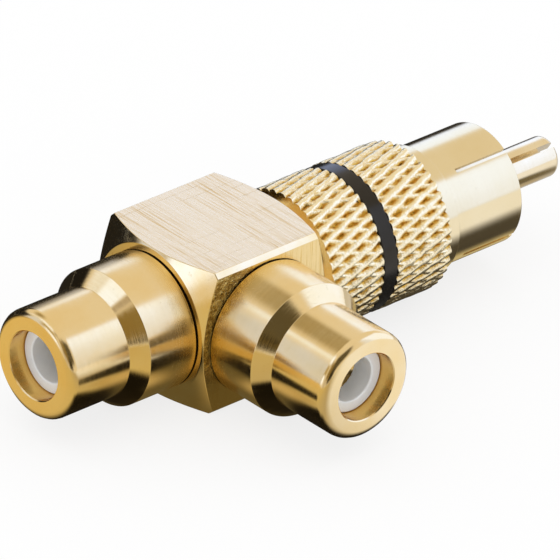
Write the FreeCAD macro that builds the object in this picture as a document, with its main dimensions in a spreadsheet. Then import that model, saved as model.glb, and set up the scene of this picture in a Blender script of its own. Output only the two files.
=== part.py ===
"""Gold-plated phono T adapter: one plug, an inline jack and a side jack on a square brass block.

Frame: millimetres, +X along the plug's pin, the side jack points along -Y, +Z up.
The origin is on the underside of the block, below the point where the three axes cross.
"""
import FreeCAD, Part
import math
import os
import Sketcher

V = FreeCAD.Vector

# Driving sizes: name, millimetres or degrees, what it is
SIZES = [
    ("block_side", 11.5, "square bar, across its flats"),
    ("block_length", 11.6, "bar cut to this length along the plug axis"),
    ("long_edge_chamfer", 0.35, "bevel along the four long edges"),
    ("end_circle_diameter", 11.3, "flat circle left on each turned end"),
    ("jack_end_cone_angle", 27.0, "cone on the inline jack's end, from the end face"),
    ("plug_end_cone_angle", 23.0, "cone on the plug's end, from the end face"),
    ("bore_step", 0.15, "radial step in the block behind a jack's insulator"),
    ("side_bore_step", 0.2, "radial step from the main bore down to the side bore"),
    ("spigot_wall", 0.53, "wall of each shell's press-fit spigot"),
    ("spigot_depth", 1.8, "how far a spigot enters the block"),
    ("spigot_relief", 0.1, "extra depth of its seat"),
    ("press_gap", 0.02, "radial gap left between pressed pieces"),
    ("jack_ring_diameter", 8.3, "contact ring that a plug's skirt grips"),
    ("jack_barrel_diameter", 10.3, "thick part of the jack shell"),
    ("jack_barrel_length", 4.35, "from the block to the taper"),
    ("jack_taper_length", 1.1, "from the barrel down to the ring"),
    ("jack_length", 10.9, "from the block to the front face"),
    ("jack_front_radius", 0.7, "rounding of the ring's front edge"),
    ("barrel_base_chamfer", 0.12, "bevel where the barrel meets the block"),
    ("mouth_diameter", 5.2, "open mouth in the front face"),
    ("mouth_depth", 1.4, "from the front face to the insulator"),
    ("mouth_edge_chamfer", 0.08, "broken edge of the mouth"),
    ("insulator_hole_diameter", 3.46, "hole that the pin enters by"),
    ("insulator_lip_length", 1.8, "lip in front of the socket contact"),
    ("insulator_flange_diameter", 5.9, "wider back part of the insulator"),
    ("insulator_flange_front", 2.0, "flange's front, measured from the block's face"),
    ("insulator_edge_chamfer", 0.12, "broken edges of its face"),
    ("contact_diameter", 4.0, "outside of the socket contact"),
    ("contact_gap", 0.05, "clearance round the contact and in front of it"),
    ("socket_play", 0.02, "radial play of a plug's pin in the socket"),
    ("socket_lead_in", 0.2, "bevel at the socket's mouth"),
    ("contact_back_wall", 0.8, "solid back of the contact"),
    ("contact_flange_gap", 0.2, "radial gap between its flange and the side bore"),
    ("contact_flange_thickness", 0.7, "thickness of this flange"),
    ("contact_slot_width", 0.4, "saw cuts that make the contact springy"),
    ("contact_slot_length", 6.0, "length of these cuts"),
    ("tail_diameter", 1.4, "tails that enter the centre rod"),
    ("tail_gap", 0.02, "radial gap of a tail in its hole"),
    ("inline_tail_length", 1.5, "tail of the inline contact"),
    ("pin_tail_length", 1.6, "tail of the plug pin"),
    ("tail_hole_relief", 0.2, "extra depth of a tail's hole"),
    ("cross_tail_reach", 1.2, "side contact's tail, past the plug axis"),
    ("rod_diameter", 3.0, "rod that joins the three contacts"),
    ("neck_length", 0.95, "bare neck between the block and the collar"),
    ("neck_diameter", 9.3, "plug shell under the collar"),
    ("collar_length", 11.3, "knurled collar"),
    ("collar_rest_gap", 0.02, "collar's crests stand this much above the block's underside"),
    ("knurl_depth", 0.3, "from the crests to where the grooves cross"),
    ("knurl_pitch", 2.7, "length of one diamond along the axis"),
    ("ring_offset", 4.85, "from the collar's back to the colour ring"),
    ("ring_width", 1.3, "colour ring"),
    ("ring_sink", 0.1, "ring's surface below the crests"),
    ("ring_thickness", 0.6, "wall of the colour ring"),
    ("ring_gap", 0.03, "clearance of the ring in its groove"),
    ("ring_edge_chamfer", 0.08, "bevel on the ring's edges"),
    ("shoulder_diameter", 9.75, "step that the collar is pushed against"),
    ("shoulder_length", 1.5, "from the collar to the skirt"),
    ("skirt_wall", 0.41, "wall of the slit skirt"),
    ("skirt_grip_gap", 0.02, "radial play of the skirt on a jack's ring"),
    ("skirt_length", 6.3, "from the shoulder to the open end"),
    ("skirt_depth", 6.5, "from the open end to the insulator"),
    ("skirt_edge_chamfer", 0.1, "bevel round the open end"),
    ("skirt_slot_width", 0.35, "slits in the skirt"),
    ("skirt_slot_length", 4.85, "length of the slits"),
    ("skirt_slot_angle", 34.0, "first slit, from the top towards the side jack"),
    ("plug_insulator_diameter", 7.2, "insulator that holds the pin"),
    ("plug_insulator_length", 6.0, "its length along the axis"),
    ("pin_diameter", 3.1, "centre pin"),
    ("pin_projection", 6.5, "pin's tip, past the skirt"),
    ("pin_tip_radius", 0.45, "rounding of the tip"),
    ("pin_shank_diameter", 2.6, "thinner part held by the insulator"),
    ("pin_drill_diameter", 1.2, "hole drilled up the split pin"),
    ("pin_slot_width", 0.42, "saw cut that splits the pin"),
    ("pin_slot_length", 9.5, "length of the cut"),
    ("pin_slot_angle", 32.0, "the cut, from the top towards the side jack"),
]
KNURL_COUNT = 40
SKIRT_SLOTS = 4
CONTACT_SLOTS = 4
PIN_SLOTS = 2
FULL_TURN = 360.0

# Sizes and stations worked out from the driving ones. A station is a distance from the block's
# face along the axis of the jack or plug that leaves there.
DERIVED = [
    ("axis_height", "=block_side / 2"),
    ("block_half", "=block_length / 2"),
    ("jack_cone_rise", "=(block_side - end_circle_diameter / 2) * tan(jack_end_cone_angle * 1deg)"),
    ("plug_cone_rise", "=(block_side - end_circle_diameter / 2) * tan(plug_end_cone_angle * 1deg)"),
    ("jack_cone_foot", "=block_half - jack_cone_rise"),
    ("plug_cone_foot", "=block_half - plug_cone_rise"),
    ("blank_diameter", "=block_side * 2"),
    ("flange_seat_diameter", "=insulator_flange_diameter + 2 * press_gap"),
    ("spigot_diameter", "=flange_seat_diameter + 2 * spigot_wall"),
    ("bore_diameter", "=insulator_flange_diameter - 2 * bore_step"),
    ("side_bore_diameter", "=bore_diameter - 2 * side_bore_step"),
    ("contact_flange_diameter", "=side_bore_diameter - 2 * contact_flange_gap"),
    ("spigot_back", "=-spigot_depth"),
    ("end_seat", "=block_half - spigot_depth - spigot_relief"),
    ("side_seat", "=axis_height - spigot_depth - spigot_relief"),
    ("seat_diameter", "=spigot_diameter + 2 * press_gap"),
    ("jack_taper_end", "=jack_barrel_length + jack_taper_length"),
    ("insulator_diameter", "=mouth_diameter - 2 * press_gap"),
    ("insulator_face", "=jack_length - mouth_depth"),
    ("insulator_lip_back", "=insulator_face - insulator_lip_length"),
    ("socket_diameter", "=pin_diameter + 2 * socket_play"),
    ("contact_hole_diameter", "=contact_diameter + 2 * contact_gap"),
    ("contact_front", "=insulator_lip_back - contact_gap"),
    ("contact_back", "=spigot_back - contact_flange_thickness"),
    ("socket_floor", "=contact_back + contact_back_wall"),
    ("inline_tail_end", "=contact_back - inline_tail_length"),
    ("side_tail_end", "=-axis_height - cross_tail_reach"),
    ("tail_hole_diameter", "=tail_diameter + 2 * tail_gap"),
    ("neck_end", "=neck_length"),
    ("collar_front", "=neck_length + collar_length"),
    ("collar_crest", "=block_side - 2 * collar_rest_gap"),
    ("collar_bore", "=neck_diameter + 2 * press_gap"),
    ("ring_back", "=neck_length + ring_offset"),
    ("ring_front", "=ring_back + ring_width"),
    ("groove_back", "=ring_back - ring_gap"),
    ("groove_front", "=ring_front + ring_gap"),
    ("ring_outside", "=collar_crest - 2 * ring_sink"),
    ("ring_inside", "=ring_outside - 2 * ring_thickness"),
    ("groove_diameter", "=ring_inside - 2 * ring_gap"),
    ("shoulder_front", "=collar_front + shoulder_length"),
    ("skirt_bore", "=jack_ring_diameter + 2 * skirt_grip_gap"),
    ("skirt_diameter", "=skirt_bore + 2 * skirt_wall"),
    ("skirt_end", "=shoulder_front + skirt_length"),
    ("cavity_floor", "=skirt_end - skirt_depth"),
    ("plug_insulator_back", "=cavity_floor - plug_insulator_length"),
    ("plug_insulator_seat", "=plug_insulator_diameter + 2 * press_gap"),
    ("pin_hole_diameter", "=pin_shank_diameter + 2 * press_gap"),
    ("pin_tip", "=skirt_end + pin_projection"),
    ("pin_tail_end", "=plug_insulator_back - pin_tail_length"),
    ("pin_drill_floor", "=pin_tip - pin_slot_length"),
    ("rod_jack_end", "=-block_half - contact_back"),
    ("rod_plug_end", "=block_half + plug_insulator_back"),
    ("inline_hole_floor", "=rod_jack_end + inline_tail_length + tail_hole_relief"),
    ("pin_hole_floor", "=rod_plug_end - pin_tail_length - tail_hole_relief"),
]
AXIS = None

doc = FreeCAD.newDocument("phono_adapter")
sheet = doc.addObject("Spreadsheet::Sheet", "sheet")


def fill_sheet():
    row = 1
    for name, number, note in SIZES:
        sheet.set(f"A{row}", name)
        sheet.set(f"B{row}", str(number))
        sheet.set(f"C{row}", note)
        sheet.setAlias(f"B{row}", name)
        row += 1
    for name, formula in DERIVED:
        sheet.set(f"A{row}", name)
        sheet.setAlias(f"B{row}", name)
        sheet.set(f"B{row}", formula)
        row += 1
    doc.recompute()


def size(name):
    return float(sheet.get(name))


def new_body(name):
    body = doc.addObject("PartDesign::Body", name)
    body.Label = name
    return body


def plane(body, role):
    return next(item for item in body.Origin.OriginFeatures if item.Role == role)


def new_sketch(body, name, role):
    sketch = body.newObject("Sketcher::SketchObject", name)
    sketch.AttachmentSupport = [(plane(body, role), "")]
    sketch.MapMode = "FlatFace"
    return sketch


def pin_down(sketch, line, point, along, formula):
    """Ties one coordinate of a line's end point to the sheet, or to an axis where it is zero."""
    if formula is AXIS:
        axis_line = -1 if along == "DistanceY" else -2
        sketch.addConstraint(Sketcher.Constraint("PointOnObject", line, point, axis_line))
        return
    start = sketch.Geometry[line].StartPoint if point == 1 else sketch.Geometry[line].EndPoint
    now = start.x if along == "DistanceX" else start.y
    number = sketch.addConstraint(Sketcher.Constraint(along, -1, 1, line, point, now))
    sketch.setExpression(f"Constraints[{number}]", formula)


def outline(sketch, corners):
    """Closed outline through corners, each given as a station and a diameter by name."""
    places = []
    for station, diameter in corners:
        along = 0.0 if station is AXIS else size(station)
        radius = 0.0 if diameter is AXIS else size(diameter) / 2
        places.append(V(along, radius, 0))
    count = len(corners)
    for i in range(count):
        sketch.addGeometry(Part.LineSegment(places[i], places[(i + 1) % count]))
    for i in range(count):
        sketch.addConstraint(Sketcher.Constraint("Coincident", i, 2, (i + 1) % count, 1))
    for i, (station, diameter) in enumerate(corners):
        pin_down(sketch, i, 1, "DistanceX", AXIS if station is AXIS else f"sheet.{station}")
        pin_down(sketch, i, 1, "DistanceY", AXIS if diameter is AXIS else f"sheet.{diameter} / 2")
    doc.recompute()


def turn(body, name, corners, kind="Revolution", role="XZ_Plane", axis="H_Axis"):
    """Turned form, or a turned cut, about the sketch's own axis."""
    sketch = new_sketch(body, f"{name}_outline", role)
    outline(sketch, corners)
    feature = body.newObject(f"PartDesign::{kind}", name)
    feature.Profile = sketch
    feature.ReferenceAxis = (sketch, [axis])
    feature.Angle = FULL_TURN
    sketch.Visibility = False
    doc.recompute()
    return feature


def ring_edges(shape, station, diameter):
    """Names of the round edges of this diameter that lie at this station on the X axis."""
    found = []
    for number, edge in enumerate(shape.Edges, 1):
        curve = edge.Curve
        if not isinstance(curve, Part.Circle):
            continue
        same_place = abs(curve.Center.x - size(station)) < 1e-4
        if same_place and abs(2 * curve.Radius - size(diameter)) < 1e-4:
            found.append(f"Edge{number}")
    return found


def dress(body, kind, base, edges, amount):
    """Fillet or chamfer of the named edges, sized by the sheet."""
    feature = body.newObject(f"PartDesign::{kind}", f"{kind.lower()}_{amount}_{len(body.Group)}")
    feature.Base = (base, edges)
    feature.setExpression("Radius" if kind == "Fillet" else "Size", f"sheet.{amount}")
    doc.recompute()
    return feature


def saw(body, base, count, width, length, tip, angle=None):
    """Saw cuts through the wall from the open end at tip, evenly spaced round the X axis."""
    sketch = new_sketch(body, f"saw_{tip}", "XZ_Plane")
    half = size(width) / 2
    far = size(tip) + size(length)
    near = size(tip) - size(length)
    corners = [V(near, -half, 0), V(far, -half, 0), V(far, half, 0), V(near, half, 0)]
    for i in range(4):
        sketch.addGeometry(Part.LineSegment(corners[i], corners[(i + 1) % 4]))
    for i in range(4):
        sketch.addConstraint(Sketcher.Constraint("Coincident", i, 2, (i + 1) % 4, 1))
    for i, (station, side) in enumerate([("-", "-"), ("+", "-"), ("+", ""), ("-", "")]):
        pin_down(sketch, i, 1, "DistanceX", f"sheet.{tip} {station} sheet.{length}")
        pin_down(sketch, i, 1, "DistanceY", f"{side}sheet.{width} / 2")
    if angle:
        sketch.setExpression("AttachmentOffset.Rotation.Angle", f"90 - sheet.{angle}")
        sketch.AttachmentOffset = FreeCAD.Placement(V(0, 0, 0), FreeCAD.Rotation(V(1, 0, 0), 1.0))
    doc.recompute()
    cut = body.newObject("PartDesign::Pocket", f"cut_{tip}")
    cut.Profile = sketch
    cut.Type = "ThroughAll"
    sketch.Visibility = False
    doc.recompute()
    pattern = body.newObject("PartDesign::PolarPattern", f"cuts_{tip}")
    pattern.Originals = [cut]
    pattern.Axis = (sketch, ["H_Axis"])
    pattern.Angle = FULL_TURN
    pattern.Occurrences = count
    body.Tip = pattern
    doc.recompute()
    if not pattern.Shape.Volume < cut.Shape.Volume < base.Shape.Volume:
        raise RuntimeError(f"the saw cuts at {tip} remove nothing")
    return pattern


def place(item, along=None, face=None, turned=0.0):
    """Puts a piece on its axis at the block's face, turned about the vertical."""
    item.Placement = FreeCAD.Placement(V(0, 0, 0), FreeCAD.Rotation(V(0, 0, 1), turned))
    item.setExpression("Placement.Base.z", "sheet.axis_height")
    if along:
        item.setExpression(f"Placement.Base.{along}", face)


PLUG_SIDE = {"along": "x", "face": "sheet.block_half"}
INLINE_SIDE = {"along": "x", "face": "-sheet.block_half", "turned": 180.0}
SIDE_SIDE = {"along": "y", "face": "-sheet.axis_height", "turned": -90.0}


def block_body():
    body = new_body("body_block")
    sketch = new_sketch(body, "bar_section", "YZ_Plane")
    half = size("axis_height")
    corners = [V(-half, -half, 0), V(half, -half, 0), V(half, half, 0), V(-half, half, 0)]
    for i in range(4):
        sketch.addGeometry(Part.LineSegment(corners[i], corners[(i + 1) % 4]))
    for i in range(4):
        sketch.addConstraint(Sketcher.Constraint("Coincident", i, 2, (i + 1) % 4, 1))
    for i, (across, up) in enumerate([("-", "-"), ("", "-"), ("", ""), ("-", "")]):
        pin_down(sketch, i, 1, "DistanceX", f"{across}sheet.axis_height")
        pin_down(sketch, i, 1, "DistanceY", f"{up}sheet.axis_height")
    doc.recompute()
    bar = body.newObject("PartDesign::Pad", "bar")
    bar.Profile = sketch
    bar.SideType = "Symmetric"
    bar.setExpression("Length", "sheet.block_length")
    sketch.Visibility = False
    doc.recompute()
    long_edges = []
    for number, edge in enumerate(bar.Shape.Edges, 1):
        if abs(abs(edge.tangentAt(edge.FirstParameter).x) - 1) < 1e-6:
            long_edges.append(f"Edge{number}")
    bevelled = dress(body, "Chamfer", bar, long_edges, "long_edge_chamfer")
    turn(body, "plug_cone", [("block_half", "end_circle_diameter"), ("block_half", "blank_diameter"),
                             ("plug_cone_foot", "blank_diameter")], "Groove")
    far_cone = new_sketch(body, "jack_cone_outline", "XZ_Plane")
    far_cone.AttachmentOffset = FreeCAD.Placement(V(0, 0, 0), FreeCAD.Rotation(V(0, 1, 0), 180.0))
    outline(far_cone, [("block_half", "end_circle_diameter"), ("block_half", "blank_diameter"),
                       ("jack_cone_foot", "blank_diameter")])
    cone = body.newObject("PartDesign::Groove", "jack_cone")
    cone.Profile = far_cone
    cone.ReferenceAxis = (far_cone, ["H_Axis"])
    cone.Angle = FULL_TURN
    far_cone.Visibility = False
    doc.recompute()
    for name, turned in (("plug_bore", 0.0), ("inline_bore", 180.0)):
        stepped_bore(body, name, turned, ["bore_diameter", "end_seat", "block_half"])
    stepped_bore(body, "side_bore", -90.0, ["side_bore_diameter", "side_seat", "axis_height"])
    if not body.Shape.Volume < bevelled.Shape.Volume:
        raise RuntimeError("the block's turned ends and bores remove nothing")
    place(body)
    return body


def stepped_bore(body, name, turned, steps):
    """Bore from the block's centre to one face, with a wider seat for a spigot."""
    bore_size, seat, face = steps
    sketch = new_sketch(body, f"{name}_outline", "XY_Plane")
    sketch.AttachmentOffset = FreeCAD.Placement(V(0, 0, 0), FreeCAD.Rotation(V(0, 0, 1), turned))
    outline(sketch, [(AXIS, AXIS), (face, AXIS), (face, "seat_diameter"), (seat, "seat_diameter"),
                     (seat, bore_size), (AXIS, bore_size)])
    bore = body.newObject("PartDesign::Groove", name)
    bore.Profile = sketch
    bore.ReferenceAxis = (sketch, ["H_Axis"])
    bore.Angle = FULL_TURN
    sketch.Visibility = False
    doc.recompute()
    return bore


def jack_shell(name, side):
    body = new_body(name)
    shell = turn(body, "turned", [
        ("spigot_back", "flange_seat_diameter"), ("spigot_back", "spigot_diameter"),
        (AXIS, "spigot_diameter"), (AXIS, "jack_barrel_diameter"),
        ("jack_barrel_length", "jack_barrel_diameter"), ("jack_taper_end", "jack_ring_diameter"),
        ("jack_length", "jack_ring_diameter"), ("jack_length", "mouth_diameter"),
        ("insulator_flange_front", "mouth_diameter"),
        ("insulator_flange_front", "flange_seat_diameter")])
    front = ring_edges(shell.Shape, "jack_length", "jack_ring_diameter")
    rounded = dress(body, "Fillet", shell, front, "jack_front_radius")
    mouth = ring_edges(rounded.Shape, "jack_length", "mouth_diameter")
    broken = dress(body, "Chamfer", rounded, mouth, "mouth_edge_chamfer")
    base = []
    for number, edge in enumerate(broken.Shape.Edges, 1):
        curve = edge.Curve
        if isinstance(curve, Part.Circle) and abs(curve.Center.x) < 1e-4:
            if abs(2 * curve.Radius - size("jack_barrel_diameter")) < 1e-4:
                base.append(f"Edge{number}")
    dress(body, "Chamfer", broken, base, "barrel_base_chamfer")
    place(body, **side)
    return body


def jack_insulator(name, side):
    body = new_body(name)
    moulded = turn(body, "moulded", [
        ("spigot_back", "contact_hole_diameter"), ("spigot_back", "insulator_flange_diameter"),
        ("insulator_flange_front", "insulator_flange_diameter"),
        ("insulator_flange_front", "insulator_diameter"), ("insulator_face", "insulator_diameter"),
        ("insulator_face", "insulator_hole_diameter"),
        ("insulator_lip_back", "insulator_hole_diameter"),
        ("insulator_lip_back", "contact_hole_diameter")])
    edges = ring_edges(moulded.Shape, "insulator_face", "insulator_hole_diameter")
    edges += ring_edges(moulded.Shape, "insulator_face", "insulator_diameter")
    dress(body, "Chamfer", moulded, edges, "insulator_edge_chamfer")
    place(body, **side)
    return body


def jack_contact(name, side, tail_end):
    body = new_body(name)
    turned = turn(body, "turned", [
        (tail_end, AXIS), (tail_end, "tail_diameter"), ("contact_back", "tail_diameter"),
        ("contact_back", "contact_flange_diameter"), ("spigot_back", "contact_flange_diameter"),
        ("spigot_back", "contact_diameter"), ("contact_front", "contact_diameter"),
        ("contact_front", "socket_diameter"), ("socket_floor", "socket_diameter"),
        ("socket_floor", AXIS)])
    mouth = ring_edges(turned.Shape, "contact_front", "socket_diameter")
    eased = dress(body, "Chamfer", turned, mouth, "socket_lead_in")
    saw(body, eased, CONTACT_SLOTS, "contact_slot_width", "contact_slot_length", "contact_front")
    place(body, **side)
    return body


def plug_shell():
    body = new_body("plug_shell")
    turned = turn(body, "turned", [
        ("spigot_back", "flange_seat_diameter"), ("spigot_back", "spigot_diameter"),
        (AXIS, "spigot_diameter"), (AXIS, "neck_diameter"), ("collar_front", "neck_diameter"),
        ("collar_front", "shoulder_diameter"), ("shoulder_front", "shoulder_diameter"),
        ("shoulder_front", "skirt_diameter"), ("skirt_end", "skirt_diameter"),
        ("skirt_end", "skirt_bore"), ("cavity_floor", "skirt_bore"),
        ("cavity_floor", "plug_insulator_seat"), ("plug_insulator_back", "plug_insulator_seat"),
        ("plug_insulator_back", "flange_seat_diameter")])
    edges = ring_edges(turned.Shape, "skirt_end", "skirt_diameter")
    eased = dress(body, "Chamfer", turned, edges, "skirt_edge_chamfer")
    saw(body, eased, SKIRT_SLOTS, "skirt_slot_width", "skirt_slot_length", "skirt_end",
        "skirt_slot_angle")
    place(body, **PLUG_SIDE)
    return body


def plug_insulator():
    body = new_body("plug_insulator")
    turn(body, "moulded", [
        ("plug_insulator_back", "pin_hole_diameter"),
        ("plug_insulator_back", "plug_insulator_diameter"),
        ("cavity_floor", "plug_insulator_diameter"), ("cavity_floor", "pin_hole_diameter")])
    place(body, **PLUG_SIDE)
    return body


def plug_pin():
    body = new_body("plug_pin")
    turned = turn(body, "turned", [
        ("pin_tail_end", AXIS), ("pin_tail_end", "tail_diameter"),
        ("plug_insulator_back", "tail_diameter"), ("plug_insulator_back", "pin_shank_diameter"),
        ("cavity_floor", "pin_shank_diameter"), ("cavity_floor", "pin_diameter"),
        ("pin_tip", "pin_diameter"), ("pin_tip", "pin_drill_diameter"),
        ("pin_drill_floor", "pin_drill_diameter"), ("pin_drill_floor", AXIS)], role="XY_Plane")
    tip = ring_edges(turned.Shape, "pin_tip", "pin_diameter")
    rounded = dress(body, "Fillet", turned, tip, "pin_tip_radius")
    saw(body, rounded, PIN_SLOTS, "pin_slot_width", "pin_slot_length", "pin_tip", "pin_slot_angle")
    place(body, **PLUG_SIDE)
    return body


def centre_rod():
    body = new_body("centre_rod")
    turn(body, "rod", [
        ("rod_jack_end", AXIS), ("rod_jack_end", "rod_diameter"),
        ("rod_plug_end", "rod_diameter"), ("rod_plug_end", AXIS)])
    turn(body, "inline_hole", [
        ("rod_jack_end", AXIS), ("rod_jack_end", "tail_hole_diameter"),
        ("inline_hole_floor", "tail_hole_diameter"), ("inline_hole_floor", AXIS)], "Groove")
    turn(body, "pin_hole", [
        ("rod_plug_end", AXIS), ("rod_plug_end", "tail_hole_diameter"),
        ("pin_hole_floor", "tail_hole_diameter"), ("pin_hole_floor", AXIS)], "Groove")
    sketch = new_sketch(body, "cross_hole_circle", "XZ_Plane")
    circle = Part.Circle(V(0, 0, 0), V(0, 0, 1), size("tail_hole_diameter") / 2)
    sketch.addGeometry(circle)
    sketch.addConstraint(Sketcher.Constraint("Coincident", 0, 3, -1, 1))
    number = sketch.addConstraint(Sketcher.Constraint("Diameter", 0, size("tail_hole_diameter")))
    sketch.setExpression(f"Constraints[{number}]", "sheet.tail_hole_diameter")
    hole = body.newObject("PartDesign::Pocket", "cross_hole")
    hole.Profile = sketch
    hole.SideType = "Symmetric"
    hole.Type = "Length"
    hole.setExpression("Length", "sheet.rod_diameter * 2")
    sketch.Visibility = False
    doc.recompute()
    place(body)
    return body


def knurled_bar():
    """Solid bar with a rolled diamond knurl: 40 crests round, rows offset by half a crest."""
    step = size("knurl_pitch") / 2
    rows = math.ceil(size("collar_length") / step) + 1
    crest = size("collar_crest") / 2
    root = crest - size("knurl_depth")
    turn_step = 2 * math.pi / KNURL_COUNT
    start = size("neck_end") - step / 2

    def point(row, half_steps, radius):
        angle = half_steps * turn_step / 2
        return V(start + row * step, radius * math.sin(angle), -radius * math.cos(angle))

    faces = []
    for row in range(rows + 1):
        for number in range(KNURL_COUNT):
            middle = 2 * number + row % 2
            peak = point(row, middle, crest)
            low = point(row, middle - 1, root)
            high = point(row, middle + 1, root)
            ends = []
            if row > 0:
                ends.append(point(row - 1, middle, root))
            if row < rows:
                ends.append(point(row + 1, middle, root))
            for end in ends:
                faces.append(Part.Face(Part.makePolygon([peak, low, end, peak])))
                faces.append(Part.Face(Part.makePolygon([peak, high, end, peak])))
    for row in (0, rows):
        rim = []
        for number in range(2 * KNURL_COUNT):
            is_crest = (number - row) % 2 == 0
            rim.append(point(row, number, crest if is_crest else root))
        faces.append(Part.Face(Part.makePolygon(rim + rim[:1])))
    shell = Part.makeShell(faces)
    shell.sewShape()
    bar = doc.addObject("Part::Feature", "knurled_bar")
    bar.Shape = Part.makeSolid(shell)
    return bar


def knurled_collar():
    """The collar is the knurled bar, turned to length, grooved and bored."""
    turned = new_body("collar_turning")
    blank = turn(turned, "turned", [
        ("neck_end", "collar_bore"), ("neck_end", "blank_diameter"),
        ("groove_back", "blank_diameter"), ("groove_back", "groove_diameter"),
        ("groove_front", "groove_diameter"), ("groove_front", "blank_diameter"),
        ("collar_front", "blank_diameter"), ("collar_front", "collar_bore")])
    turned.Tip = blank
    collar = doc.addObject("Part::Common", "knurled_collar")
    collar.Label = "knurled_collar"
    collar.Base = knurled_bar()
    collar.Tool = turned
    collar.Refine = False
    doc.recompute()
    place(collar, **PLUG_SIDE)
    return collar


def colour_ring():
    body = new_body("colour_ring")
    band = turn(body, "band", [
        ("ring_back", "ring_inside"), ("ring_back", "ring_outside"),
        ("ring_front", "ring_outside"), ("ring_front", "ring_inside")])
    edges = ring_edges(band.Shape, "ring_back", "ring_outside")
    edges += ring_edges(band.Shape, "ring_front", "ring_outside")
    dress(body, "Chamfer", band, edges, "ring_edge_chamfer")
    place(body, **PLUG_SIDE)
    return body


fill_sheet()
NODES = [
    block_body(),
    jack_shell("inline_jack_shell", INLINE_SIDE),
    jack_insulator("inline_jack_insulator", INLINE_SIDE),
    jack_contact("inline_jack_contact", INLINE_SIDE, "inline_tail_end"),
    jack_shell("side_jack_shell", SIDE_SIDE),
    jack_insulator("side_jack_insulator", SIDE_SIDE),
    jack_contact("side_jack_contact", SIDE_SIDE, "side_tail_end"),
    plug_shell(),
    plug_insulator(),
    plug_pin(),
    centre_rod(),
    knurled_collar(),
    colour_ring(),
]
doc.recompute()

for item in doc.Objects:
    if {"Invalid", "Error"} & set(item.State):
        raise RuntimeError(f"{item.Label} failed: {item.State}")
for node in NODES:
    if node.Shape.isNull() or not node.Shape.isValid() or len(node.Shape.Solids) != 1:
        raise RuntimeError(f"{node.Label} isn't one valid solid")

os.makedirs("parts", exist_ok=True)
for node in NODES:
    node.Shape.exportStep(f"parts/{node.Label}.step")
    print(node.Label, round(node.Shape.Volume, 2), node.Shape.BoundBox)
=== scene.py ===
import math

import bpy
from mathutils import Matrix, Vector, noise


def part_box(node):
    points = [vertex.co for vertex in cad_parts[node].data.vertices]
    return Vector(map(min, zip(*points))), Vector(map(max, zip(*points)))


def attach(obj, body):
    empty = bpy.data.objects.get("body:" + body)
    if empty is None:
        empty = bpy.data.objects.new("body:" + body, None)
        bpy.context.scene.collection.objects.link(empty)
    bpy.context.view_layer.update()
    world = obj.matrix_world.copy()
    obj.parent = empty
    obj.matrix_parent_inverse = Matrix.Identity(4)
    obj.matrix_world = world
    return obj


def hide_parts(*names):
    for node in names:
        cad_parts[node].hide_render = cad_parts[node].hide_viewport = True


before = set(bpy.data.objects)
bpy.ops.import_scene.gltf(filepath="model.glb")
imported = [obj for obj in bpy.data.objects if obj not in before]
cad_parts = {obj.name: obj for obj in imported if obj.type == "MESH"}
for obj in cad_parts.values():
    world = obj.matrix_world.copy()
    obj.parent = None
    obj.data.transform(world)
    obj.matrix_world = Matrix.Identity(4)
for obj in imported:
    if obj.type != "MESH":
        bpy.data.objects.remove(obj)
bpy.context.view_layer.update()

# Sizes in millimetres, as the solids have them. Meshes are scaled to metres when they are made.
MM = 0.001


def box_in_mm(node):
    """Low and high corner of a solid's box."""
    return [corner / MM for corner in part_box(node)]


block_low, block_high = box_in_mm("body_block")
shell_low, shell_high = box_in_mm("inline_jack_shell")
collar_low, collar_high = box_in_mm("knurled_collar")
band_low, band_high = box_in_mm("colour_ring")
plug_front = box_in_mm("plug_shell")[1].x
pin_front = box_in_mm("plug_pin")[1].x

BLOCK_HALF = block_high.x
AXIS_HEIGHT = (block_low.z + block_high.z) / 2
LONG_EDGE_BEVEL = 0.35
END_CIRCLE_RADIUS = 5.65
JACK_CONE = math.radians(27)
PLUG_CONE = math.radians(23)
SEAT_RADIUS = 3.52
SEAT_DEPTH = 1.9
BORE_RADIUS = 2.8

SPIGOT_RADIUS = 3.5
SPIGOT_BORE = 2.97
SPIGOT_DEPTH = 1.8

JACK_LENGTH = block_low.x - shell_low.x
BARREL_RADIUS = (shell_high.y - shell_low.y) / 2
BARREL_LENGTH = 4.35
TAPER_LENGTH = 1.1
JACK_RING_RADIUS = 4.15
JACK_FRONT_ROUND = 0.7
JOINT_WIDTH = 0.11
JOINT_DEPTH = 0.35
MOUTH_RADIUS = 2.6
MOUTH_DEPTH = 1.4
MOUTH_EDGE = 0.08

INSULATOR_RADIUS = 2.58
INSULATOR_HOLE = 1.73
INSULATOR_LIP = 1.8
INSULATOR_EDGE = 0.12
INSULATOR_FLANGE_RADIUS = 2.95
INSULATOR_FLANGE_FRONT = 2.0
CONTACT_HOLE = 2.05

NECK_RADIUS = 4.65
NECK_LENGTH = collar_low.x - BLOCK_HALF
COLLAR_FRONT = collar_high.x - BLOCK_HALF
SHOULDER_RADIUS = 4.875
SHOULDER_LENGTH = 1.5
SHOULDER_FRONT = COLLAR_FRONT + SHOULDER_LENGTH
SKIRT_END = plug_front - BLOCK_HALF
SKIRT_RADIUS = 4.58
SKIRT_BORE = 4.17
SKIRT_DEPTH = 6.5
CAVITY_FLOOR = SKIRT_END - SKIRT_DEPTH
SKIRT_EDGE = 0.1
SKIRT_SLOT_WIDTH = 0.35
SKIRT_SLOT_LENGTH = 4.85
SKIRT_SLOTS = 4
SKIRT_SLOT_ANGLE = 34.0

CREST_RADIUS = collar_high.z - AXIS_HEIGHT
KNURL_DEPTH = 0.36
KNURL_PITCH = 2.7
KNURL_COUNT = 40
KNURL_SHARP = math.radians(35)
COLLAR_BORE = 4.67
BAND_BACK = band_low.x - BLOCK_HALF
BAND_FRONT = band_high.x - BLOCK_HALF
BAND_RADIUS = band_high.z - AXIS_HEIGHT
BAND_INSIDE = 5.03
BAND_EDGE = 0.08
BAND_GAP = 0.03
GROOVE_RADIUS = 5.0

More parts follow.
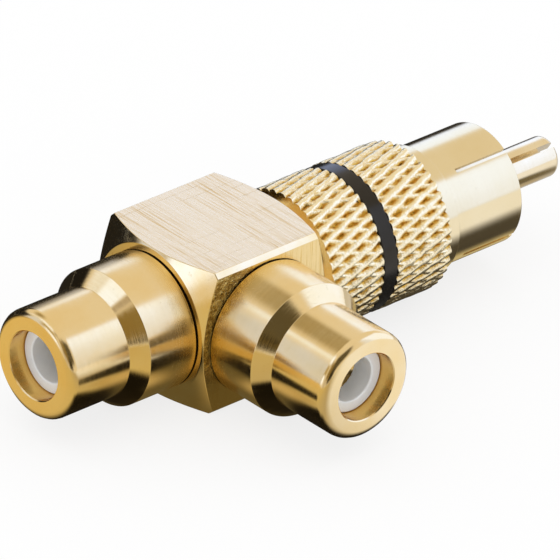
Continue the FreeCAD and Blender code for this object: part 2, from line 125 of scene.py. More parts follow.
PLUG_INSULATOR_RADIUS = 3.6
PLUG_INSULATOR_LENGTH = 6.0
INSULATOR_BACK = CAVITY_FLOOR - PLUG_INSULATOR_LENGTH
PIN_HOLE_RADIUS = 1.32
PIN_TIP = pin_front - BLOCK_HALF
PIN_RADIUS = 1.55
PIN_TIP_ROUND = 0.45
PIN_SHANK_RADIUS = 1.3
PIN_TAIL_RADIUS = 0.7
PIN_TAIL_LENGTH = 1.6
PIN_DRILL_RADIUS = 0.6
PIN_SLOTS = 2
PIN_SLOT_WIDTH = 0.42
PIN_SLOT_LENGTH = 9.5
PIN_SLOT_ANGLE = 32.0

# Broken edges that are too small for the solids
SOFT_EDGE = 0.05
FINE_EDGE = 0.02

# Raised lines of the knurl, as shares of a diamond: the flat tops of the set that rises towards
# the plug, seen from the side jack, then the tops, feet and height of the set that falls, and
# how curved the flanks are
RISING_FLAT = 0.22
FALLING_FLAT = 0.08
FALLING_FOOT = 0.7
FALLING_HEIGHT = 0.84
FLANK_CURVE = 1.4

# How uneven the pressed lines are in height and place, by noise that is read on a ring
UNEVEN = 0.15
WANDER = 0.13
WANDER_SCALE = 1.7
UNEVEN_RADIUS = 6

# How finely the meshes are divided
TURN = 2 * math.pi
COLUMNS = 192
ARC_STEPS = 5
SIDE_STEPS = 28
BLEND_STEPS = 4
CELL_STEPS = 14
KNURL_COLUMNS = KNURL_COUNT * CELL_STEPS
TINY = 1e-6

# A normal's part along an axis, from which a flat counts as square to it
SQUARE_ON = 0.98

# Colours, and the ranges and scales of the noise that varies them
GOLD = (0.92, 0.735, 0.42)
GOLD_DEEP = (0.91, 0.69, 0.34)
# Painted reflection of the block's ochre side, laid on the jacks' feet
FOOT_REFLECTION_OCHRE = (0.86, 0.58, 0.14)
NOISE_LOW = 0.3
NOISE_HIGH = 0.7
CLOUD_LOW = 0.35
CLOUD_HIGH = 0.7
GOLD_CLOUD_SCALE = 0.35
PLASTIC_CLOUD_SCALE = 0.8
PLASTIC_GRAIN_SCALE = 14.0

# Turning lines, and how little they change round the piece
LINES_SCALE = 9.0
LINES_DRIFT = 0.12

# Worn specks in the gold, which are darker and duller
SPECK_RANGE = (0.62, 0.72)
SPECK_SHADE = 0.8
SPECK_DULL_RANGE = (0.55, 0.75)
SPECK_DULL = 0.08

# Foot of a jack: from and to which distance off the block it has a painted ochre reflection of the
# block's side and is duller, and how much
FOOT_CLOUD = 0.4
FOOT_OCHRE_START = 0.2
FOOT_OCHRE_END = 1.7
FOOT_OCHRE = 0.7
FOOT_DULL_END = 4.0
FOOT_DULL = 0.12

# Knurl: burrs on its lines and painted shade in its pits
BURR_SCALE = 4.5
BURR_SWAY = 0.2
BURR_DEPTH = 0.06
PIT_SHADE_RANGE = (-0.1, 0.2)
PIT_SHADE = 0.9
PIT_DARK = 0.25

# Brushed flats: the lines, the patches in which they are ochre, and the stray scratches
BRUSH_SCALE = (7.0, 0.16, 0.16)
BRUSH_PATCH_SCALE = (0.8, 0.08, 0.08)
BRUSH_OCHRE_RANGE = (0.5, 0.64)
BRUSH_PATCH_RANGE = (0.4, 0.6)
BRUSH_DEPTH = 0.012
STRAY_SCALE = (0.12, 5.0, 5.0)
STRAY_RANGE = (0.66, 0.7)
STRAY_OCHRE = 0.35
STRAY_CUT = 0.6

# Dents and painted glints on the block's side: where they begin and where they are full, by x, y and
# z
DENT_AND_GLINT_ZONE = ((-1.0, -3.5), (-1.0, -3.0), (-3.5, -0.5))
DENT_AND_GLINT_SCALE = 2.4
GLINT_RANGE = (0.42, 0.58)
GLINT_SHARE = 0.85
GLINT_DARK = (0.42, 0.25, 0.03)
GLINT_LIGHT = (1.0, 0.78, 0.28)


def standing(x, y, turned):
    """Where a turned piece stands: at the block's face, with its axis pointing outwards."""
    place = Matrix.Translation((x * MM, y * MM, AXIS_HEIGHT * MM))
    return place @ Matrix.Rotation(math.radians(turned), 4, "Z") @ Matrix.Scale(MM, 4)


CENTRE = standing(0, 0, 0)
PLUG_SIDE = standing(BLOCK_HALF, 0, 0)
INLINE_SIDE = standing(-BLOCK_HALF, 0, 180)
SIDE_SIDE = standing(0, block_low.y, -90)


# Node material helpers
def new_material(name):
    material = bpy.data.materials.new(name)
    material.use_nodes = True
    tree = material.node_tree
    tree.nodes.clear()
    output = tree.nodes.new("ShaderNodeOutputMaterial")
    shader = tree.nodes.new("ShaderNodeBsdfPrincipled")
    tree.links.new(shader.outputs["BSDF"], output.inputs["Surface"])
    return material, tree, shader


def add_node(tree, kind, inputs=None, **settings):
    """Node with its settings; inputs maps a socket to a number, a colour or another node's output."""
    node = tree.nodes.new(f"ShaderNode{kind}")
    for key, value in settings.items():
        setattr(node, key, value)
    for socket, value in (inputs or {}).items():
        if isinstance(value, bpy.types.NodeSocket):
            tree.links.new(value, node.inputs[socket])
        else:
            node.inputs[socket].default_value = value
    return node


def add_math(tree, operation, first, second=0.0):
    return add_node(tree, "Math", {0: first, 1: second}, operation=operation).outputs[0]


def add_mix(tree, share, first, second):
    return add_node(tree, "Mix", {0: share, 6: first, 7: second}, data_type="RGBA").outputs[2]


def stretch(tree, value, low, high, to_low=0.0, to_high=1.0):
    """Value with the range low to high spread over to_low to to_high, and held at its ends."""
    source = {"Value": value, "From Min": low, "From Max": high}
    return add_node(tree, "MapRange", {**source, "To Min": to_low, "To Max": to_high}).outputs[0]


def swing(tree, grain, to_low, to_high):
    """Noise with its usual range spread over other limits."""
    return stretch(tree, grain, NOISE_LOW, NOISE_HIGH, to_low, to_high)


def add_noise(tree, place, scale, detail=2.0, roughness=0.5):
    inputs = {"Vector": place, "Scale": scale, "Detail": detail, "Roughness": roughness}
    return add_node(tree, "TexNoise", inputs).outputs["Fac"]


def drawn_out_noise(tree, place, scale, detail, roughness=0.5):
    """Noise that runs along the axes with a small scale."""
    mapped = add_node(tree, "Mapping", {"Vector": place, "Scale": scale}).outputs[0]
    return add_noise(tree, mapped, 1.0, detail, roughness)


def add_bump(tree, height, depth, normal=None):
    """Normal of a surface with this relief, its depth in millimetres, on top of another."""
    relief = {"Strength": 1.0, "Distance": depth * MM, "Height": height}
    if normal:
        relief["Normal"] = normal
    return add_node(tree, "Bump", relief).outputs[0]


def darkened(colour, share):
    return [part * share for part in colour]


def object_place(tree):
    """Coordinates in millimetres from the point where the three axes cross."""
    place = add_node(tree, "TexCoord").outputs["Object"]
    scaled = add_node(tree, "VectorMath", {0: place, "Scale": 1 / MM}, operation="SCALE").outputs[0]
    centre = (0.0, 0.0, AXIS_HEIGHT)
    return add_node(tree, "VectorMath", {0: scaled, 1: centre}, operation="SUBTRACT").outputs[0]


def turning_lines(tree, along):
    """Fine circular lines, as a cutting tool leaves them, on a piece turned about this axis."""
    place = object_place(tree)
    parts = add_node(tree, "SeparateXYZ", {0: place}).outputs
    axis = parts[0] if along == "X" else parts[1]
    across = parts[1] if along == "X" else parts[0]
    flat = add_node(tree, "CombineXYZ", {0: across, 1: parts[2], 2: 0.0}).outputs[0]
    radius = add_node(tree, "VectorMath", {0: flat}, operation="LENGTH").outputs["Value"]
    travel = add_math(tree, "MULTIPLY", add_math(tree, "ADD", axis, radius), LINES_SCALE)
    inputs = {
        0: travel,
        1: add_math(tree, "MULTIPLY", across, LINES_DRIFT),
        2: add_math(tree, "MULTIPLY", parts[2], LINES_DRIFT),
    }
    lines = add_node(tree, "CombineXYZ", inputs).outputs[0]
    return place, add_noise(tree, lines, 1.0, detail=4.0, roughness=0.65)


def turned_tangent(tree, place, along, inward):
    """Direction across the turning lines, in which they stretch a highlight."""
    mask = (0.0, 1.0, 1.0) if along == "X" else (1.0, 0.0, 1.0)
    axis = (inward, 0.0, 0.0) if along == "X" else (0.0, inward, 0.0)
    outward = add_node(tree, "VectorMath", {0: place, 1: mask}, operation="MULTIPLY").outputs[0]
    outward = add_node(tree, "VectorMath", {0: outward}, operation="NORMALIZE").outputs[0]
    outward = add_node(tree, "VectorMath", {0: outward, "Scale": 2.0}, operation="SCALE").outputs[0]
    return add_node(tree, "VectorMath", {0: outward, 1: axis}, operation="ADD").outputs[0]


# Metal and plastic finishes
def set_surface(tree, shader, colour, rough, normal, metallic=1.0):
    for socket, source in (("Base Color", colour), ("Roughness", rough), ("Normal", normal)):
        tree.links.new(source, shader.inputs[socket])
    shader.inputs["Metallic"].default_value = metallic


def clouded(tree, place, scale, base, deep):
    """Cloudy noise, and a colour that goes with it from one tone to the other."""
    cloud = add_noise(tree, place, scale, detail=3.0)
    colour = add_mix(tree, stretch(tree, cloud, CLOUD_LOW, CLOUD_HIGH), (*base, 1), (*deep, 1))
    return cloud, colour


def painted_foot_reflection_and_dulling(tree, place, along, cloud, colour, rough):
    """Painted ochre reflection of the block's side where a jack stands on the block, and duller gold
    there, with a cloudy edge.
    """
    axis = add_node(tree, "SeparateXYZ", {0: place}).outputs[0 if along == "X" else 1]
    uneven = swing(tree, cloud, -FOOT_CLOUD, FOOT_CLOUD)
    reach = add_math(tree, "ADD", add_math(tree, "ABSOLUTE", axis), uneven)
    ochre_start = BLOCK_HALF + FOOT_OCHRE_START
    ochre = stretch(tree, reach, ochre_start, BLOCK_HALF + FOOT_OCHRE_END, FOOT_OCHRE, 0.0)
    dull = stretch(tree, reach, BLOCK_HALF, BLOCK_HALF + FOOT_DULL_END, FOOT_DULL, 0.0)
    return add_mix(tree, ochre, colour, (*FOOT_REFLECTION_OCHRE, 1)), add_math(tree, "ADD", rough, dull)


def gold_finish(name, base, deep, roughness, marks, bump, along="X", inward=1.0, stretched=0.7,
                speck_scale=6.0, specks=0.35, joint=False):
    """Gold plate over turned brass: fine lines, cloudy colour and small worn specks."""
    material, tree, shader = new_material(name)
    place, lines = turning_lines(tree, along)
    cloud, colour = clouded(tree, place, GOLD_CLOUD_SCALE, base, deep)
    speck = add_noise(tree, place, speck_scale, detail=5.0, roughness=0.7)
    worn = stretch(tree, speck, *SPECK_RANGE, 0.0, specks)
    colour = add_mix(tree, worn, colour, (*darkened(deep, SPECK_SHADE), 1))
    fine = swing(tree, lines, roughness - marks, roughness + marks)
    dull = stretch(tree, speck, *SPECK_DULL_RANGE, 0.0, SPECK_DULL)
    rough = add_math(tree, "ADD", fine, dull)
    if joint:
        colour, rough = painted_foot_reflection_and_dulling(tree, place, along, cloud, colour, rough)
    set_surface(tree, shader, colour, rough, add_bump(tree, lines, bump))
    if stretched:
        shader.inputs["Anisotropic"].default_value = stretched
        tree.links.new(turned_tangent(tree, place, along, inward), shader.inputs["Tangent"])
    return material


def knurl_finish(name, crest, pit, roughness):
    """Gold plate over a pressed knurl, with a painted highlight that makes the ridges pale, painted
    shade that makes the pits deep, and small burrs.
    """
    material, tree, shader = new_material(name)
    place = object_place(tree)
    across = add_node(tree, "VectorMath", {0: place, 1: (0.0, 1.0, 1.0)}, operation="MULTIPLY")
    radius = add_node(tree, "VectorMath", {0: across.outputs[0]}, operation="LENGTH").outputs["Value"]
    height = stretch(tree, radius, CREST_RADIUS - KNURL_DEPTH, CREST_RADIUS)
    burr = add_noise(tree, place, BURR_SCALE, detail=4.0, roughness=0.65)
    # Height of the knurl, made uneven by the burrs; it sets the painted highlight and painted shade
    # below
    worn = add_math(tree, "ADD", height, swing(tree, burr, -BURR_SWAY, BURR_SWAY))
    # Colour from pit to crest by height: painted shade in the pits and a painted highlight on the
    # ridges
    colour = add_mix(tree, swing(tree, worn, 0.0, 1.0), (*pit, 1), (*crest, 1))
    # Darker still towards the pits' floors: painted shade
    painted_pit_shade = stretch(tree, worn, *PIT_SHADE_RANGE, PIT_SHADE, 0.0)
    colour = add_mix(tree, painted_pit_shade, colour, (*darkened(pit, PIT_DARK), 1))
    rough = swing(tree, burr, roughness - 0.05, roughness + 0.08)
    set_surface(tree, shader, colour, rough, add_bump(tree, burr, BURR_DEPTH))
    return material


def corner_dents_and_painted_glints(tree, place, colour, normal, depth):
    """Dents and painted glints, as light and dark flecks of colour, in the side's upper corner,
    between the two jacks.
    """
    zone = 1.0
    for part, (start, full) in zip(add_node(tree, "SeparateXYZ", {0: place}).outputs, DENT_AND_GLINT_ZONE):
        zone = add_math(tree, "MULTIPLY", stretch(tree, part, start, full), zone)
    mill = add_noise(tree, place, DENT_AND_GLINT_SCALE, detail=5.0, roughness=0.7)
    # Light and dark flecks of colour: painted glints
    painted_glints = add_mix(tree, stretch(tree, mill, *GLINT_RANGE), (*GLINT_DARK, 1), (*GLINT_LIGHT, 1))
    colour = add_mix(tree, add_math(tree, "MULTIPLY", zone, GLINT_SHARE), colour, painted_glints)
    height = add_math(tree, "MULTIPLY", mill, zone)
    return colour, add_bump(tree, height, depth, normal)


def brushed_finish(name, base, deep, roughness, strays, dents=0.0):
    """Flat of the block, brushed across the plug's axis, with stray scratches the other way."""
    material, tree, shader = new_material(name)
    place = object_place(tree)
    lines = drawn_out_noise(tree, place, BRUSH_SCALE, detail=5.0, roughness=0.7)
    broad = drawn_out_noise(tree, place, BRUSH_PATCH_SCALE, detail=2.0)
    stray = drawn_out_noise(tree, place, STRAY_SCALE, detail=3.0)
    scratch = stretch(tree, stray, *STRAY_RANGE)
    in_lines = stretch(tree, lines, *BRUSH_OCHRE_RANGE)
    ochre = add_math(tree, "MULTIPLY", in_lines, stretch(tree, broad, *BRUSH_PATCH_RANGE))
    colour = add_mix(tree, ochre, (*base, 1), (*deep, 1))
    scratched = add_math(tree, "MULTIPLY", scratch, STRAY_OCHRE * strays)
    colour = add_mix(tree, scratched, colour, (*deep, 1))
    rough = swing(tree, lines, roughness - 0.06, roughness + 0.1)
    cut = add_math(tree, "MULTIPLY", scratch, -STRAY_CUT * strays)
    normal = add_bump(tree, add_math(tree, "ADD", lines, cut), BRUSH_DEPTH)
    if dents:
        colour, normal = corner_dents_and_painted_glints(tree, place, colour, normal, dents)
    set_surface(tree, shader, colour, rough, normal)
    return material


def moulded_finish(name, base, deep, roughness, grain, coat, tint=(1.0, 1.0, 1.0), specular=0.5):
    """Moulded plastic: faint mottling, fine grain in its gloss, and a clear surface."""
    material, tree, shader = new_material(name)
    place = object_place(tree)
    _, colour = clouded(tree, place, PLASTIC_CLOUD_SCALE, base, deep)
    fine = add_noise(tree, place, PLASTIC_GRAIN_SCALE, detail=4.0)
    rough = swing(tree, fine, roughness - 0.04, roughness + 0.06)
    set_surface(tree, shader, colour, rough, add_bump(tree, fine, grain), metallic=0.0)
    shader.inputs["Coat Weight"].default_value = coat
    shader.inputs["Coat Roughness"].default_value = 0.08
    shader.inputs["Specular Tint"].default_value = (*tint, 1)
    shader.inputs["Specular IOR Level"].default_value = specular
    return material


# Materials
def jack_gold(along, roughness):
    """Polished jack that is turned about X or Y, with a painted ochre reflection and duller gold at
    its foot.
    """
    return gold_finish(f"gold_polished_{along.lower()}", GOLD, GOLD_DEEP, roughness, marks=0.03,
                       bump=0.0015, along=along, joint=True)


def taper_gold(along):
    """Taper of a jack, with stronger turning marks and specks."""
    return gold_finish(f"gold_taper_{along.lower()}", GOLD, GOLD_DEEP, roughness=0.075,
                       marks=0.03, bump=0.006, along=along, speck_scale=3.5, specks=0.8)


def mouth_gold(along):
    """Inside of a jack's mouth, painted a deeper orange gold as a painted reflection of its wall in
    itself.
    """
    return gold_finish(f"gold_mouth_{along.lower()}", (0.93, 0.62, 0.2), (0.86, 0.52, 0.12),
                       roughness=0.22, marks=0.05, bump=0.003, along=along)


def plug_gold():
    return gold_finish("gold_polished_plug", (0.88, 0.74, 0.46), (0.86, 0.71, 0.42),
                       roughness=0.14, marks=0.03, bump=0.0015, inward=-1.0)


def pin_gold():
    return gold_finish("gold_pin", (0.92, 0.79, 0.54), (0.86, 0.7, 0.42), roughness=0.16,
                       marks=0.03, bump=0.001, inward=-1.0)


def knurl_gold():
    # The pale crest colour carries a painted highlight and the deep pit colour painted shade
    return knurl_finish("gold_knurl", (1.0, 0.86, 0.54), (0.72, 0.43, 0.07), roughness=0.13)


def neck_gold():
    """Neck between the block and the collar, painted a deep yellow as a painted reflection of them.
    """
    return gold_finish("gold_neck", (1.0, 0.72, 0.18), (0.96, 0.64, 0.14), roughness=0.2,
                       marks=0.03, bump=0.0015)


def top_gold():
    """Block's top and underside, brushed pale."""
    return brushed_finish("gold_brushed", (0.93, 0.815, 0.61), (0.74, 0.52, 0.22),
                          roughness=0.27, strays=0.6)


def side_gold():
    """Block's two sides, deeper ochre than the top: partly their own yellower tone and partly a
    painted reflection of the jacks, with dents and painted glints in the corner between the jacks.
    """
    return brushed_finish("gold_brushed_side", (0.88, 0.66, 0.3), (0.78, 0.52, 0.16),
                          roughness=0.18, strays=0.15, dents=0.3)


def cone_gold():
    """Block's turned cones and bevels."""
    return gold_finish("gold_turned_cone", (0.93, 0.78, 0.5), GOLD_DEEP, roughness=0.14,
                       marks=0.03, bump=0.002, stretched=0.0, speck_scale=2.0, specks=0.9)


# Near-black colour in the groove at a jack's foot: painted shade in the narrow gap
def painted_joint_shade():
    return moulded_finish("painted_joint_shade", (0.03, 0.022, 0.01), (0.06, 0.04, 0.015),
                          roughness=0.6, grain=0.004, coat=0.0)


def bare_brass():
    return gold_finish("brass_turned", (0.8, 0.66, 0.38), (0.7, 0.54, 0.28), roughness=0.26,
                       marks=0.05, bump=0.006)


def white_plastic():
    return moulded_finish("plastic_white", (0.88, 0.92, 0.95), (0.83, 0.87, 0.9),
                          roughness=0.3, grain=0.004, coat=0.3)


def black_plastic():
    return moulded_finish("plastic_black", (0.01, 0.01, 0.01), (0.014, 0.014, 0.014),
                          roughness=0.14, grain=0.001, coat=0.0, tint=(1.0, 0.8, 0.5),
                          specular=0.35)


# Mesh helpers
def new_piece(name, form, place, node, material, sharp=None):
    """Piece that rides on the one body in place of a CAD node."""
    points, faces, normals = form
    mesh = bpy.data.meshes.new(name)
    mesh.from_pydata([place @ Vector(p) for p in points], [], faces)
    mesh.polygons.foreach_set("use_smooth", [True] * len(mesh.polygons))
    if normals:
        turned = place.to_3x3().normalized()
        flat = [(turned @ Vector(n)).normalized() for corner in normals for n in corner]
        mesh.normals_split_custom_set(flat)
    else:
        mesh.set_sharp_from_angle(angle=sharp)
    mesh.materials.append(material)
    piece = bpy.data.objects.new(name, mesh)
    bpy.context.scene.collection.objects.link(piece)
    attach(piece, "root")
    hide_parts(node)
    return piece


def rounded(corners):
    """Closed outline through (along, out, rounding) corners, as samples that run anticlockwise.

    A sample is its place and the two normals of the outline, before it and after it.
    """
    places = [Vector(corner[:2]) for corner in corners]
    if sum(places[i - 1].cross(places[i]) for i in range(len(places))) < 0:
        corners = corners[::-1]
        places = places[::-1]
    samples = []
    for i, (along, out, rounding) in enumerate(corners):
        here = places[i]
        into = (here - places[i - 1]).normalized()
        onward = (places[(i + 1) % len(places)] - here).normalized()
        normal_in = Vector((into.y, -into.x))
        normal_out = Vector((onward.y, -onward.x))
        turning = into.angle_signed(onward, 0.0)
        if rounding < TINY or abs(turning) < TINY:
            samples.append((here, normal_in, normal_out))
            continue
        reach = rounding * math.tan(abs(turning) / 2)
        inward = -1 if into.cross(onward) > 0 else 1
        centre = here - into * reach + normal_in * rounding * inward
        for step in range(ARC_STEPS + 1):
            normal = normal_in.slerp(normal_out, step / ARC_STEPS)
            samples.append((centre - normal * rounding * inward, normal, normal))
    return samples


def split_at(samples, station):
    """The same outline with a sample wherever it crosses a station."""
    result = []
    for i, sample in enumerate(samples):
        result.append(sample)
        here, after = sample[0], samples[(i + 1) % len(samples)][0]
        low, high = sorted((here.x, after.x))
        if low + TINY < station < high - TINY:
            share = (station - here.x) / (after.x - here.x)
            result.append((here.lerp(after, share), sample[2], sample[2]))
    return result


def ring_angles(out, count, width, first, steps, lines):
    """Angles of the points of a ring of this radius, which leave its saw cuts free."""
    margin = math.asin(min(1.0, width / 2 / max(out, width / 2, TINY)))
    span = TURN / count - 2 * margin
    angles = []
    for column in range(count * lines):
        sector, line = divmod(column, lines)
        angles.append(math.radians(first) + TURN * sector / count + margin + span * line / steps)
    return angles


def lathe(corners, slots=None):
    """Turned form about the X axis. slots is (count, width, first angle, start) of its saw cuts."""
    samples = rounded(corners)
    count, width, first, start = slots or (1, 0.0, 0.0, math.inf)
    if slots:
        samples = split_at(samples, start)
    steps = COLUMNS // count
    lines = steps + 1 if slots else steps
    total = count * lines
    angles, points = [], []
    for here, _, _ in samples:
        ring = ring_angles(here.y, count, width, first, steps, lines)
        angles += ring
        points += [(here.x, -here.y * math.sin(angle), here.y * math.cos(angle)) for angle in ring]

    def spread(normal, corner):
        return (normal.x, -normal.y * math.sin(angles[corner]), normal.y * math.cos(angles[corner]))

    faces, normals = [], []
    for row, (here, _, leaving) in enumerate(samples):
        after = (row + 1) % len(samples)
        there, arriving, _ = samples[after]
        if here.y < TINY and there.y < TINY:
            continue
        in_cut = min(here.x, there.x) > start - TINY and max(here.x, there.x) > start + TINY
        for column in range(total):
            onward = (column + 1) % total
            if slots and in_cut and onward % lines == 0:
                continue
            face = [row * total + column, after * total + column,
                    after * total + onward, row * total + onward]
            corner = [spread(n, f) for n, f in zip((leaving, arriving, arriving, leaving), face)]
            if here.y < TINY:
                face, corner = [row * total] + face[1:3], corner[:3]
            elif there.y < TINY:
                face, corner = [face[0], after * total, face[3]], corner[:2] + corner[3:]
            faces.append(face)
            normals.append(corner)
    if slots:
        close_slots(samples, points, faces, normals, count, lines, start)
    return points, faces, normals


def close_slots(samples, points, faces, normals, count, lines, start):
    """The two side walls and the floor of each saw cut."""
    rows = [i for i, (here, _, _) in enumerate(samples) if here.x > start - TINY and here.y > TINY]
    first = next(i for i in range(len(rows)) if (rows[i] - rows[i - 1]) % len(samples) != 1)
    rows = rows[first:] + rows[:first]
    total = count * lines
    for sector in range(count):
        left = sector * lines
        right = (left - 1) % total
        left_wall = [row * total + left for row in rows[::-1]]
        right_wall = [row * total + right for row in rows]
        floor = [rows[0] * total + left, rows[0] * total + right,
                 rows[-1] * total + right, rows[-1] * total + left]
        for face in (left_wall, right_wall, floor):
            faces.append(face)
            normals.append([flat_normal(points, face)] * len(face))


def flat_normal(points, face):
    total = Vector((0, 0, 0))
    for i in range(len(face)):
        total += Vector(points[face[i - 1]]).cross(Vector(points[face[i]]))
    return total.normalized()


def skin(rows):
    """Closed form through rows of samples, each (place, normal before, normal after)."""
    total = len(rows[0])
    points = [sample[0] for row in rows for sample in row]
    faces, normals = [], []
    for row in range(len(rows)):
        after = (row + 1) % len(rows)
        for column in range(total):
            onward = (column + 1) % total
            faces.append([row * total + column, after * total + column,
                          after * total + onward, row * total + onward])
            normals.append([rows[row][column][2], rows[after][column][1],
                            rows[after][onward][1], rows[row][onward][2]])
    return points, faces, normals


def finish_part(piece, finish, belongs):
    """Give the faces whose middle belongs, in millimetres, a finish of their own."""
    piece.data.materials.append(finish)
    for face in piece.data.polygons:
        if belongs(face.center / MM):
            face.material_index = len(piece.data.materials) - 1


# Square block: a bevelled bar whose two ends are turned to cones
def bar_section():
    """Samples round the bar's section with the flats divided, as (across, up) and a normal."""
    half = AXIS_HEIGHT
    flat = half - LONG_EDGE_BEVEL
    corners = [(half, -flat), (half, flat), (flat, half), (-flat, half),
               (-half, flat), (-half, -flat), (-flat, -half), (flat, -half)]
    outline = rounded([(*corner, SOFT_EDGE) for corner in corners])
    section = []
    for i, (here, _, leaving) in enumerate(outline):
        there = outline[(i + 1) % len(outline)][0]
        section.append((here, leaving))
        if (there - here).length > half:
            for step in range(1, SIDE_STEPS):
                section.append((here.lerp(there, step / SIDE_STEPS), leaving))
    return section


def blend_sample(start, corner, end, normal_start, normal_end, share):
    """Point on the curve that rounds a corner, with its normal."""
    place = start.lerp(corner, share).lerp(corner.lerp(end, share), share)
    normal = normal_start.lerp(normal_end, share).normalized()
    return place, normal, normal


def on_spoke(spoke, along, out):
    """Place or direction in the plane of the plug's axis and a spoke."""
    return Vector((along, spoke.x * out, spoke.y * out))


def block_end(spoke, reach, side, end, cone):
    """Samples of a column at one end: off the flat face, up the cone and onto the long side."""
    slope = on_spoke(spoke, end * math.cos(cone), math.sin(cone))
    face = Vector((end, 0, 0))
    foot = BLOCK_HALF - (reach - END_CIRCLE_RADIUS) * math.tan(cone)
    ring = on_spoke(spoke, end * BLOCK_HALF, END_CIRCLE_RADIUS)
    corner = on_spoke(spoke, end * foot, reach)
    up = (corner - ring).normalized() * SOFT_EDGE
    below = ring - on_spoke(spoke, 0, SOFT_EDGE)
    beyond = corner - face * SOFT_EDGE
    shares = [step / BLEND_STEPS for step in range(BLEND_STEPS + 1)]
    samples = [blend_sample(below, ring, ring + up, face, slope, share) for share in shares]
    samples += [blend_sample(corner - up, corner, beyond, slope, side, share) for share in shares]
    return samples


def block_column(here, facing):
    """One column of the block, round its outside and back through the bore."""
    reach = here.length
    spoke = here / reach
    side = Vector((0, facing.x, facing.y))
    column = block_end(spoke, reach, side, 1, PLUG_CONE)
    column += block_end(spoke, reach, side, -1, JACK_CONE)[::-1]
    seat_floor = BLOCK_HALF - SEAT_DEPTH
    inner = rounded([(-BLOCK_HALF, SEAT_RADIUS, 0), (-seat_floor, SEAT_RADIUS, 0),
                     (-seat_floor, BORE_RADIUS, 0), (seat_floor, BORE_RADIUS, 0),
                     (seat_floor, SEAT_RADIUS, 0), (BLOCK_HALF, SEAT_RADIUS, 0),
                     (BLOCK_HALF, reach, 0), (-BLOCK_HALF, reach, 0)])
    for sample in inner:
        if sample[0].y < SEAT_RADIUS + TINY:
            column.append(tuple(on_spoke(spoke, *value) for value in sample))
    return column


def block_form():
    columns = [block_column(*sample) for sample in bar_section()]
    rows = [[column[row] for column in columns] for row in range(len(columns[0]))]
    return skin(rows)


def block_finish(normal):
    """Which of the block's materials a face has: top and bottom, sides, or cones and bevels."""
    if abs(normal.z) > SQUARE_ON:
        return 0
    return 1 if abs(normal.y) > SQUARE_ON else 2


def build_block():
    block = new_piece("block_body", block_form(), CENTRE, "body_block", top_gold())
    block.data.materials.append(side_gold())
    block.data.materials.append(cone_gold())
    for face in block.data.polygons:
        face.material_index = block_finish(face.normal)


# Jacks: a turned shell and its white insulator, the same at both places
def jack_shell_form():
    taper_end = BARREL_LENGTH + TAPER_LENGTH
    joint_floor = BARREL_RADIUS - JOINT_DEPTH
    return lathe([
        (-SPIGOT_DEPTH, SPIGOT_BORE, 0), (-SPIGOT_DEPTH, SPIGOT_RADIUS, 0), (0, SPIGOT_RADIUS, 0),
        (0, joint_floor, 0), (JOINT_WIDTH, joint_floor, 0),
        (JOINT_WIDTH, BARREL_RADIUS, FINE_EDGE),
        (BARREL_LENGTH, BARREL_RADIUS, SOFT_EDGE), (taper_end, JACK_RING_RADIUS, SOFT_EDGE),
        (JACK_LENGTH, JACK_RING_RADIUS, JACK_FRONT_ROUND),
        (JACK_LENGTH, MOUTH_RADIUS + MOUTH_EDGE, FINE_EDGE),
        (JACK_LENGTH - MOUTH_EDGE, MOUTH_RADIUS, FINE_EDGE),
        (INSULATOR_FLANGE_FRONT, MOUTH_RADIUS, 0), (INSULATOR_FLANGE_FRONT, SPIGOT_BORE, 0)])


def jack_insulator_form():
    face = JACK_LENGTH - MOUTH_DEPTH
    lip_back = face - INSULATOR_LIP
    return lathe([
        (-SPIGOT_DEPTH, CONTACT_HOLE, 0), (-SPIGOT_DEPTH, INSULATOR_FLANGE_RADIUS, 0),
        (INSULATOR_FLANGE_FRONT, INSULATOR_FLANGE_RADIUS, 0),
        (INSULATOR_FLANGE_FRONT, INSULATOR_RADIUS, 0),
        (face, INSULATOR_RADIUS, INSULATOR_EDGE), (face, INSULATOR_HOLE, INSULATOR_EDGE),
        (lip_back, INSULATOR_HOLE, 0), (lip_back, CONTACT_HOLE, 0)])


def in_mouth(middle):
    """Whether a face of a jack shell is the wall of its mouth."""
    across = middle.y if abs(middle.x) > abs(middle.y) else middle.x
    return math.hypot(across, middle.z - AXIS_HEIGHT) < MOUTH_RADIUS + FINE_EDGE


def in_joint(middle):
    """Whether a face of a jack shell lies in the groove at its base."""
    across, along = sorted((abs(middle.x), abs(middle.y)))
    radius = math.hypot(across, middle.z - AXIS_HEIGHT)
    groove_end = BLOCK_HALF + JOINT_WIDTH + FINE_EDGE / 2
    return BLOCK_HALF - TINY < along < groove_end and radius > SPIGOT_RADIUS + TINY


def on_taper(middle):
    """Whether a face of a jack shell lies on the taper between its barrel and its ring."""
    along = max(abs(middle.x), abs(middle.y)) - BLOCK_HALF
    return BARREL_LENGTH + SOFT_EDGE < along < BARREL_LENGTH + TAPER_LENGTH - SOFT_EDGE


def build_jack(jack, place, along, polished):
    """Shell and insulator of the jack that is turned about X or Y."""
    shell = new_piece(f"{jack}_shell", jack_shell_form(), place, f"{jack}_jack_shell",
                      polished)
    finish_part(shell, mouth_gold(along), in_mouth)
    # The groove at the jack's foot gets painted shade
    finish_part(shell, joint_shade, in_joint)
    finish_part(shell, taper_gold(along), on_taper)
    new_piece(f"{jack}_insulator", jack_insulator_form(), place, f"{jack}_jack_insulator",
              white)


